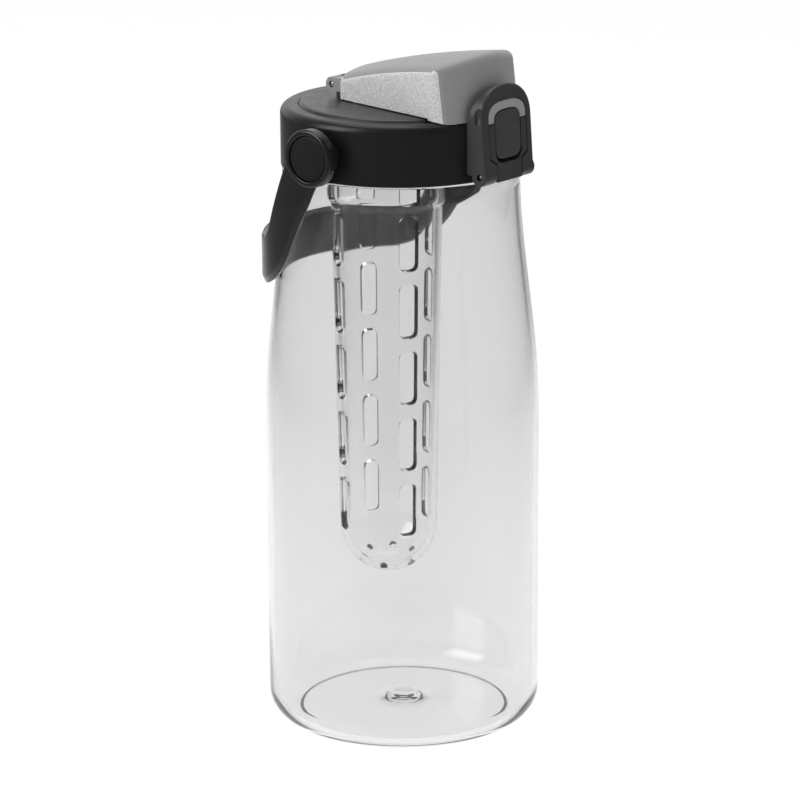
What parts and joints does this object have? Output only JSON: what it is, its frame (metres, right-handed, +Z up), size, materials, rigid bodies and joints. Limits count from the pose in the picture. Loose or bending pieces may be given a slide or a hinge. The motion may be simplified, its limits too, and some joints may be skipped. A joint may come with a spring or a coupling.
{
  "type": "infuser pitcher",
  "caption": "Clear round pitcher with a screw lid, flip cap over a spout, swinging lock bail, rocker release button, carry handle and a slotted infuser tube.",
  "frame": {"origin": "on the bottle's axis at the table, under the middle of the foot ring", "axes": "+Z up along the bottle's axis; -Y toward the latch, +Y toward the flip cap's hinge; the carry handle turns about X"},
  "size_m": [0.1202, 0.1164, 0.2922],
  "materials": {
    "clear_plastic": "clear, smooth moulded plastic",
    "black_plastic": "satin black moulded plastic",
    "dark_deck_plastic": "satin dark grey moulded plastic",
    "charcoal_plastic": "satin charcoal moulded plastic",
    "button_plastic": "finely textured charcoal plastic",
    "grey_plastic": "finely textured grey plastic",
    "light_grey_plastic": "satin grey plastic",
    "silicone": "soft translucent white silicone",
    "steel": "plain stainless steel"
  },
  "bodies": {
    "bottle": {"bottle": "clear_plastic"},
    "gasket": {"lid_gasket": "silicone"},
    "lid": {"lid_collar": "black_plastic", "lid_deck": "dark_deck_plastic", "hinge_pin": "steel", "cap_spring": "steel", "latch_housing": "charcoal_plastic", "bail_pin": "steel", "button_pin": "steel", "handle_screw_left": "steel", "handle_screw_right": "steel", "infuser_o_ring": "silicone"},
    "cap": {"flip_cap": "grey_plastic", "spout_seal": "silicone"},
    "bail": {"lock_bail": "charcoal_plastic", "bail_inlay": "light_grey_plastic"},
    "button": {"release_button": "button_plastic", "button_spring": "steel"},
    "handle": {"carry_handle": "black_plastic", "pivot_cover_left": "black_plastic", "pivot_cover_right": "black_plastic"},
    "infuser": {"infuser_tube": "clear_plastic"}
  },
  "joints": [
    {"name": "lid_rise", "type": "slide", "parent": "bottle", "child": "gasket", "axis": [0, 0, 1], "range_m": [0, 0.005]},
    {"name": "lid_turn", "type": "hinge", "parent": "gasket", "child": "lid", "pos_m": [0, 0, 0.25], "axis": [0, 0, 1], "range_deg": [0, 360]},
    {"name": "cap_flip", "type": "hinge", "parent": "lid", "child": "cap", "pos_m": [0, 0.0252, 0.2735], "axis": [-1, 0, 0], "range_deg": [0, 120]},
    {"name": "bail_swing", "type": "hinge", "parent": "lid", "child": "bail", "pos_m": [0, -0.0539, 0.2448], "axis": [1, 0, 0], "range_deg": [0, 135]},
    {"name": "button_press", "type": "hinge", "parent": "lid", "child": "button", "pos_m": [0, -0.0535, 0.262], "axis": [1, 0, 0], "range_deg": [0, 7], "stiffness_Nm_per_rad": 0.05},
    {"name": "handle_swing", "type": "hinge", "parent": "lid", "child": "handle", "pos_m": [0, 0, 0.2528], "axis": [1, 0, 0], "range_deg": [0, 255]},
    {"name": "infuser_pull", "type": "slide", "parent": "lid", "child": "infuser", "axis": [0, 0, -1], "range_m": [0, 0.02]}
  ],
  "couplings": [
    {"joint": "lid_rise", "follows": "lid_turn", "m_per_rad": 0.00079577}
  ]
}
